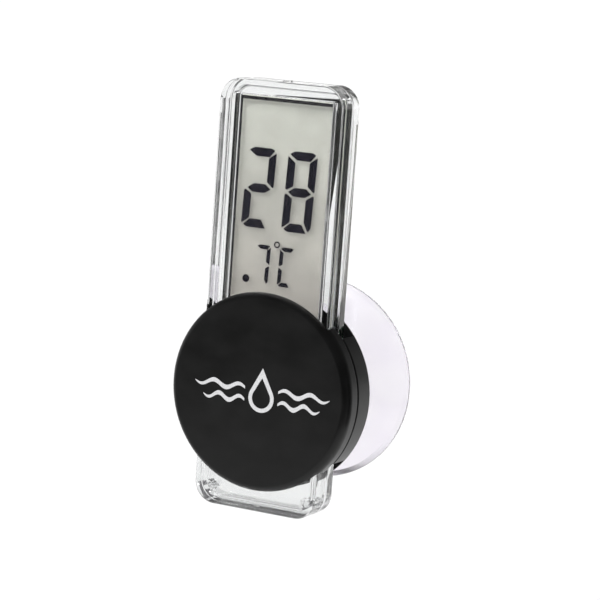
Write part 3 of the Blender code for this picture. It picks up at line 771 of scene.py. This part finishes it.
def make_front_cover():
    """A round shell with a deep rounded edge, a notch for the case and four screw posts."""
    inner = HOUSING_RADIUS - HOUSING_WALL
    inner_front = HOUSING_FRONT + HOUSING_WALL
    profile = [
        (0, inner_front, 0),
        (inner - 0.4 * MM, inner_front, 0.8 * MM),
        (inner, SEAM_FRONT, 0.1 * MM),
        (HOUSING_RADIUS, SEAM_FRONT, 0.35 * MM),
        (HOUSING_RADIUS, HOUSING_FRONT + EDGE_DEEP, 0),
    ]
    outline = round_corners(profile) + front_edge_outline() + [(0, HOUSING_FRONT)]
    cover = new_object("housing_front", turned_mesh(outline))
    cut(cover, case_notch(CASE_HALF + NOTCH_GAP))
    for x, z in SCREW_PLACES:
        add(cover, post_mesh(2.0 * MM, 0.3 * MM, inner_front - 0.5 * MM, SEAM_FRONT - 0.3 * MM, x, z))
        cut(cover, bore_mesh(1.1 * MM, inner_front + 0.5 * MM, SEAM_FRONT + THROUGH, x, z))
    finish_piece(cover, BLACK, THERMOMETER, "black_housing", "front_cover")


def make_rear_cover():
    """A round shell with the cup's socket, a notch for the case, screw posts and a battery well."""
    inner = HOUSING_RADIUS - HOUSING_WALL
    floor = KNOB_FRONT - 0.4 * MM
    lip = KNOB_FRONT + KNOB_THICK + 0.3 * MM
    socket = KNOB_RADIUS + 0.3 * MM
    mouth = NECK_RADIUS + 0.4 * MM
    profile = [
        (0, floor, 0),
        (socket, floor, 0.2 * MM),
        (socket, lip, 0.1 * MM),
        (mouth, lip, 0.25 * MM),
        (mouth, BOSS_MOUTH, 0.4 * MM),
        (7.5 * MM, BOSS_MOUTH, 0.6 * MM),
        (7.5 * MM, HOUSING_BACK, 0.4 * MM),
        (HOUSING_RADIUS, HOUSING_BACK, 1.0 * MM),
        (HOUSING_RADIUS, SEAM_BACK, 0.35 * MM),
        (inner, SEAM_BACK, 0.1 * MM),
        (inner, INNER_BACK, 0.5 * MM),
        (0, INNER_BACK, 0),
    ]
    cover = new_object("housing_rear", turned_mesh(round_corners(profile)))
    cut(cover, case_notch(REAR_NOTCH_HALF))
    cut_battery_well(cover)
    for x, z in SCREW_PLACES:
        seat = HOUSING_BACK - 1.5 * MM
        add(cover, post_mesh(2.6 * MM, 0.3 * MM, INNER_BACK + 0.5 * MM, SEAM_BACK, x, z))
        cut(cover, bore_mesh(2.0 * MM, seat, HOUSING_BACK + THROUGH, x, z))
        cut(cover, bore_mesh(1.1 * MM, SEAM_BACK - THROUGH, seat + 0.5 * MM, x, z))
    finish_piece(cover, BLACK, THERMOMETER, "black_housing", "rear_cover")


def cut_battery_well(cover):
    """A stepped bore with an inner lip, and two gaps in the lip for the battery cover's lugs."""
    wide = COVER_RADIUS + 0.3 * MM
    throat = COVER_RADIUS - 0.7 * MM
    lip_back, lip_front = HOUSING_BACK - 1.5 * MM, HOUSING_BACK - 2.0 * MM
    well_front = CASE_MID_Y + 3.3 * MM
    add(cover, bore_mesh(WELL_RADIUS, well_front, INNER_BACK + 0.5 * MM, 0, COVER_Z))
    profile = [
        (0, HOUSING_BACK + THROUGH),
        (wide, HOUSING_BACK + THROUGH),
        (wide, lip_back),
        (throat, lip_back),
        (throat, lip_front),
        (wide, lip_front),
        (wide, well_front - THROUGH),
        (0, well_front - THROUGH),
    ]
    cut(cover, turned_mesh(profile, MIDDLE_SIDES, 0, COVER_Z))
    for i in range(2):
        low = Vector((5.0 * MM, lip_front - 0.3 * MM, -2.2 * MM))
        high = Vector((7.1 * MM, lip_back + 0.3 * MM, 2.2 * MM))
        gap = slab_mesh(low, high, 0.2 * MM)
        gap.transform(Matrix.Rotation(COVER_TURN + i * math.pi, 4, "Y"))
        gap.transform(Matrix.Translation((0, 0, COVER_Z)))
        cut(cover, gap)


def cross_recess(obj, x, z, face, reach, half, deep):
    """Cuts a cross recess into a screw head whose outer face is at y face, on the +Y side."""
    for dx, dz in ((reach, half), (half, reach)):
        low = Vector((x - dx, face - deep, z - dz))
        high = Vector((x + dx, face + THROUGH, z + dz))
        cut(obj, slab_mesh(low, high, 0.9 * half, 0.1 * MM, 0))


def make_housing_screws():
    """Pan-head screws with thread crests and a cross recess."""
    seat = HOUSING_BACK - 1.4 * MM
    top = seat + 1.1 * MM
    tip = HOUSING_FRONT + 2.4 * MM
    head = [
        (0, top, 0),
        (SCREW_HEAD, top, 0.45 * MM),
        (SCREW_HEAD, seat, 0.1 * MM),
        (SCREW_CORE, seat, 0.1 * MM),
    ]
    outline = round_corners(head)
    y = seat - 0.5 * MM
    while y > tip + 1.2 * MM:
        outline += [(SCREW_CORE, y), (SCREW_CREST, y - 0.35 * SCREW_PITCH)]
        outline.append((SCREW_CORE, y - 0.7 * SCREW_PITCH))
        y -= SCREW_PITCH
    outline += [(0.5 * MM, tip + 0.6 * MM), (0.1 * MM, tip), (0, tip)]
    for i, (x, z) in enumerate(SCREW_PLACES):
        screw = new_object(f"housing_screw_fine_{i + 1}", turned_mesh(outline, SMALL_SIDES, x, z))
        cross_recess(screw, x, z, top, 1.0 * MM, 0.2 * MM, 0.5 * MM)
        finish_piece(screw, STEEL, THERMOMETER, "screw_steel", f"housing_screw_{i + 1}")


# ---------------------------------------------------------------- battery cover


def make_battery_cover():
    """A coin-slotted cap with two lugs."""
    outer = HOUSING_BACK
    end = outer - 2.7 * MM
    pad_seat = outer - 1.7 * MM
    profile = [
        (0, outer, 0),
        (COVER_RADIUS, outer, 0.3 * MM),
        (COVER_RADIUS, CAP_UNDER, 0.1 * MM),
        (CAP_NECK, CAP_UNDER, 0.1 * MM),
        (CAP_NECK, end, 0.15 * MM),
        (CAP_NECK - 1.0 * MM, end, 0.15 * MM),
        (CAP_NECK - 1.0 * MM, pad_seat, 0.15 * MM),
        (0, pad_seat, 0),
    ]
    cap = new_object("battery_cap", turned_mesh(round_corners(profile), CAP_SIDES, 0, COVER_Z))
    slot_low = Vector((-4.5 * MM, outer - 0.5 * MM, COVER_Z - 0.7 * MM))
    slot_high = Vector((4.5 * MM, outer + THROUGH, COVER_Z + 0.7 * MM))
    cut(cap, slab_mesh(slot_low, slot_high, 0.65 * MM, 0.15 * MM, 0))
    for side in (-1, 1):
        edges = sorted((side * (CAP_NECK - 0.5 * MM), side * 6.75 * MM))
        low = Vector((edges[0], end, COVER_Z - 1.7 * MM))
        high = Vector((edges[1], end + 0.5 * MM, COVER_Z + 1.7 * MM))
        add(cap, slab_mesh(low, high, 0.3 * MM, 0.1 * MM, 0.1 * MM))
    finish_piece(cap, BLACK, HATCH, "black_housing", "battery_cover")


def make_battery_gasket():
    """The rubber ring under the cap's rim."""
    inner, outside = CAP_NECK + 0.2 * MM, COVER_RADIUS - 0.05 * MM
    front, back = CAP_UNDER - 0.45 * MM, CAP_UNDER - 0.15 * MM
    section = [(inner, front), (outside, front), (outside, back), (inner, back)]
    gasket = round_corners([(a, b, 0.13 * MM) for a, b in section], closed=True)
    seal = new_object("battery_cap_seal", turned_mesh(gasket, CAP_SIDES, 0, COVER_Z, closed=True))
    finish_piece(seal, RUBBER, HATCH, "gasket", "battery_cover_seal")


# ---------------------------------------------------------------- suction cup


def cup_curves():
    """The cup's hollow from its middle to its lip, and its dome from its rim to its shoulder, both
    arcs of a sphere."""
    hollow_edge = CUP_RADIUS - CUP_LIP
    hollow_sphere = (hollow_edge**2 + HOLLOW_DEPTH**2) / (2 * HOLLOW_DEPTH)
    dome_height = DOME_TOP - CUP_RIM
    dome_sphere = (CUP_RADIUS**2 + dome_height**2) / (2 * dome_height)
    dome_edge = CUP_RADIUS - 0.25 * MM
    shoulder = NECK_RADIUS + NECK_FILLET
    hollow, dome = [], []
    for i in range(CUP_STEPS + 1):
        radius = hollow_edge * i / CUP_STEPS
        depth = math.sqrt(hollow_sphere**2 - radius**2) - (hollow_sphere - HOLLOW_DEPTH)
        hollow.append((radius, -depth))
        radius = dome_edge + (shoulder - dome_edge) * i / CUP_STEPS
        height = math.sqrt(dome_sphere**2 - radius**2) - (dome_sphere - dome_height)
        dome.append((radius, -CUP_RIM - height))
    return hollow, dome


def make_suction_cup():
    """A soft cup with a flat lip, a domed hollow and a knob that snaps into the housing."""
    hollow, dome = cup_curves()
    neck_front = dome[-1][1] - NECK_FILLET
    knob_back = KNOB_FRONT + KNOB_THICK
    rim_edge = [
        (CUP_RADIUS - CUP_LIP, 0, 0),
        (CUP_RADIUS, 0, 0.3 * MM),
        (CUP_RADIUS, -CUP_RIM, 0.3 * MM),
        (*dome[0], 0),
    ]
    knob = [
        (NECK_RADIUS, neck_front, 0),
        (NECK_RADIUS, knob_back, 0.15 * MM),
        (KNOB_RADIUS, knob_back, 0.3 * MM),
        (KNOB_RADIUS, knob_back - 1.0 * MM, 0.3 * MM),
        (KNOB_RADIUS - 0.8 * MM, KNOB_FRONT, 0.3 * MM),
        (0, KNOB_FRONT, 0),
    ]
    neck = arc((NECK_RADIUS + NECK_FILLET, neck_front), NECK_FILLET, 90, 180, 10)[1:]
    profile = [*hollow[:-1], *round_corners(rim_edge)[:-1], *dome, *neck, *round_corners(knob)[1:]]
    cup = new_object("vinyl_suction_cup", turned_mesh(profile))
    finish_piece(cup, VINYL, CUP, "clear_cup", "suction_cup")


# ---------------------------------------------------------------- emblem


EMBLEM_X = 1.2 * MM
DROP_Z = -1.2 * MM
WAVE_START = 4.6 * MM
WAVE_SWING = 0.7 * MM
WAVES = ((0.9 * MM, 14.0 * MM), (-2.1 * MM, 11.5 * MM))


def make_emblem():
    """The outline of a water drop between two pairs of waves, printed on the front."""
    front, back = HOUSING_FRONT - 0.03 * MM, HOUSING_FRONT + 0.02 * MM
    outlines = []
    for side in (-1, 1):
        for height, length in WAVES:
            outlines.append(wave(side, length, height))
    emblem = new_object("drop_emblem", plate_mesh(outlines, front, back))
    add(emblem, plate_mesh([drop_outline(3.5 * MM, 7.4 * MM)], front, back))
    cut(emblem, plate_mesh([drop_outline(2.5 * MM, 5.0 * MM)], front - THROUGH, back + THROUGH))
    finish_piece(emblem, PRINT, THERMOMETER, "black_housing")


def drop_outline(radius, point):
    """A round drop with its point at the top, that far above the middle of its round end."""
    lean = math.acos(radius / point)
    start = math.degrees(math.pi / 2 - lean)
    middle = EMBLEM_X, DROP_Z
    sides = arc(middle, radius, start, start - 360 + 2 * math.degrees(lean), 40)
    return [(EMBLEM_X, point + middle[1]), *sides]


def wave(side, length, height):
    """A tapered wave line that runs outwards from beside the drop."""
    steps = 28
    upper, lower = [], []
    for i in range(steps + 1):
        share = i / steps
        x = EMBLEM_X + side * (WAVE_START + share * length)
        z = height + WAVE_SWING * math.sin(share * 4 * math.pi)
        half = 0.08 * MM + 0.5 * MM * math.sin(math.pi * min(1, share * 0.9 + 0.1)) ** 0.6
        upper.append((x, z + half))
        lower.append((x, z - half))
    return upper + lower[::-1]


# ---------------------------------------------------------------- CAD nodes that stay


def dress_inner_parts():
    """The inner pieces keep their CAD shapes."""
    for node, material in (
        ("lcd_edge_seal", EPOXY),
        ("lcd_fill_plug", EPOXY),
        ("zebra_connector", ELASTOMER),
        ("circuit_board", BOARD),
        ("board_screw_1", STEEL),
        ("board_screw_2", STEEL),
        ("chip_blob", EPOXY),
        ("chip_capacitor", CERAMIC),
        ("chip_resistor_1", CHIP),
        ("chip_resistor_2", CHIP),
        ("temperature_sensor", CHIP),
        ("button_cell", CELL),
        ("negative_contact", SPRING),
        ("positive_contact", SPRING),
        ("battery_cover_pad", FOAM),
    ):
        dress(node, material)


# ---------------------------------------------------------------- camera, floor and light

CAMERA_AZIMUTH = math.radians(27.544)
CAMERA_ELEVATION = math.radians(8.130)
CAMERA_ROLL = math.radians(4.032)
CAMERA_DISTANCE = 0.6
CAMERA_LENS = 148.06
AIM_RIGHT = 5.841 * MM
AIM_UP = -0.248 * MM
FLOOR_Z = -85 * MM
LIGHT_BOUNCES = 32
SUN_STRENGTH = 4.3
SUN_SPREAD = math.radians(50)
SUN_TURN = (math.radians(38), 0, math.radians(-25))

# The surround's brightness by the height of the direction, from the horizon up
SKY_TONES = ((0.0, 1.0), (0.1, 0.75), (0.3, 0.1), (0.9, 0.03))

# Dark cards. Each row has the direction of a card in degrees from +Y towards +X, its distance in
# metres, its left, right, low and high edges in mm, and the share of its height over which its low
# edge fades.
CRISP = 0.001
CARDS = {
    "card_back_right": (27.5, 0.3, 4, 50, -5, 70, 0.3),
    "card_back_edge": (27.5, 0.3, -4.3, 4, -65, 70, 0.4),
    "card_front_left": (207.5, 0.3, -45, 80, -70, 70, CRISP),
    "card_right": (118, 0.16, -75, 75, -75, 60, CRISP),
    "card_right_rear": (68, 0.16, -60, 60, -75, 60, CRISP),
    "card_front": (167, 0.16, -75, 75, -75, 60, CRISP),
    "card_behind": (-27.5, 0.1, -4, 17, 24, 66, 0.3),
    "card_far_left": (-27.5, 0.6, -120, 120, 45, 80, CRISP),
    "card_back_line": (27.5, 0.29, 9.5, 15.5, -42, 12, 0.3),
    "card_behind_edge": (-27.5, 0.1, -13.4, -10.8, -6, 60, 0.3),
}
MOST_DIRECT = 8


def make_camera():
    """The camera where the photo's was, as fitted to the case, the housing and the cup."""
    azimuth, elevation = CAMERA_AZIMUTH, CAMERA_ELEVATION
    back = Vector(
        (
            math.sin(azimuth) * math.cos(elevation),
            -math.cos(azimuth) * math.cos(elevation),
            math.sin(elevation),
        )
    )
    level = Vector((math.cos(azimuth), math.sin(azimuth), 0))
    upright = back.cross(level)
    right = level * math.cos(CAMERA_ROLL) + upright * math.sin(CAMERA_ROLL)
    up = back.cross(right)
    case_centre = Vector((0, CASE_MID_Y, (CASE_LOW + CASE_TOP) / 2))
    place = case_centre + level * AIM_RIGHT + upright * AIM_UP + back * CAMERA_DISTANCE
    camera = bpy.data.objects.new("camera", bpy.data.cameras.new("camera"))
    camera.data.lens = CAMERA_LENS
    camera.data.clip_start = 0.01
    camera.data.clip_end = 100
    turn = Matrix((right, up, back)).transposed().to_4x4()
    camera.matrix_world = Matrix.Translation(place) @ turn
    bpy.context.scene.collection.objects.link(camera)
    bpy.context.scene.camera = camera


def make_floor():
    """A plain pale floor, well below the object at every pose."""
    bm = bmesh.new()
    bmesh.ops.create_grid(bm, x_segments=2, y_segments=2, size=40)
    floor = new_object("studio_floor", mesh_from(bm))
    floor.location.z = FLOOR_Z
    material, tree, shader = new_material("pale_floor", roughness=0.9, specular=0.0)
    colours(tree, noise(tree, 0.4, 2), shader, (0.9, 0.9, 0.9), (0.92, 0.92, 0.92))
    floor.data.materials.append(material)


def card_cloth(name, feather):
    """Dark cloth that thins out to nothing towards the card's low edge. Light that has bounced many
    times along a clear wall passes it, as it would come out scattered in all directions."""
    material, tree, shader = new_material(name, roughness=1.0, specular=0.0)
    colours(tree, noise(tree, 0.05, 2), shader, (0.01,) * 3, (0.015,) * 3)
    path = tree.nodes.new("ShaderNodeLightPath")
    direct = spread(tree, path.outputs["Ray Depth"], 1.0, 0.0, MOST_DIRECT, MOST_DIRECT + 1)
    fade = spread_along(tree, "Y", -0.5, feather - 0.5)
    link(tree, arithmetic(tree, "MULTIPLY", fade, direct), shader, "Alpha")
    return material


def make_card(name, azimuth, distance, left, right, low, high, feather):
    """A dark upright studio card that only reflections and refractions see. Left and right are
    distances from the line along its azimuth, as the object sees the card."""
    bm = bmesh.new()
    bmesh.ops.create_grid(bm, x_segments=1, y_segments=1, size=0.5)
    card = new_object(name, mesh_from(bm))
    card.scale = (right - left, high - low, 1)
    card.rotation_euler = (math.radians(90), 0, -azimuth)
    away = Vector((math.sin(azimuth), math.cos(azimuth), 0))
    across = Vector((math.cos(azimuth), -math.sin(azimuth), 0))
    card.location = away * distance + across * (left + right) / 2
    card.location += Vector((0, CASE_MID_Y, (low + high) / 2))
    card.data.materials.append(card_cloth(name + "_cloth", feather))
    card.visible_camera = False
    card.visible_diffuse = False
    card.visible_shadow = False


def make_cards():
    """They give the clear walls their dark bands, and the glass and the black face their shade. They
    stand behind the object, on the camera's mirror side, to the right and in front."""
    for name, (azimuth, distance, left, right, low, high, feather) in CARDS.items():
        edges = [edge * MM for edge in (left, right, low, high)]
        make_card(name, math.radians(azimuth), distance, *edges, feather)


def make_world():
    """A pale surround, bright at the horizon and dark overhead."""
    world = bpy.data.worlds.new("studio")
    world.use_nodes = True
    tree = world.node_tree
    coords = tree.nodes.new("ShaderNodeTexCoord")
    parts = tree.nodes.new("ShaderNodeSeparateXYZ")
    ramp = tree.nodes.new("ShaderNodeValToRGB")
    stops = ramp.color_ramp.elements
    first, *between, last = SKY_TONES
    stops[0].position, stops[1].position = first[0], last[0]
    for place, _ in between:
        stops.new(place)
    for stop, (_, tone) in zip(stops, SKY_TONES):
        stop.color = (tone, tone, tone, 1)
    link(tree, coords.outputs["Generated"], parts, "Vector")
    link(tree, parts.outputs["Z"], ramp, "Fac")
    link(tree, ramp.outputs["Color"], tree.nodes["Background"], "Color")
    tree.nodes["Background"].inputs["Strength"].default_value = 1.0
    bpy.context.scene.world = world


def make_lamp():
    """A wide soft light from the front, above and to the left, without a glint of its own."""
    lamp = bpy.data.lights.new("softbox", "SUN")
    lamp.energy = SUN_STRENGTH
    lamp.angle = SUN_SPREAD
    box = bpy.data.objects.new("softbox", lamp)
    box.rotation_euler = SUN_TURN
    box.visible_glossy = False
    bpy.context.scene.collection.objects.link(box)


def set_light_paths():
    """Light bounces many times inside the clear walls, and pale stays pale."""
    scene = bpy.context.scene
    scene.cycles.max_bounces = LIGHT_BOUNCES
    scene.cycles.transmission_bounces = LIGHT_BOUNCES
    scene.cycles.glossy_bounces = LIGHT_BOUNCES
    scene.cycles.transparent_max_bounces = LIGHT_BOUNCES
    scene.view_settings.view_transform = "Standard"


make_camera()
make_floor()
make_world()
make_lamp()
set_light_paths()
make_cards()

make_case_front()
make_case_rear()
make_display_sheets()
make_characters()
make_front_cover()
make_rear_cover()
make_housing_screws()
make_battery_cover()
make_battery_gasket()
make_suction_cup()
make_emblem()
dress_inner_parts()
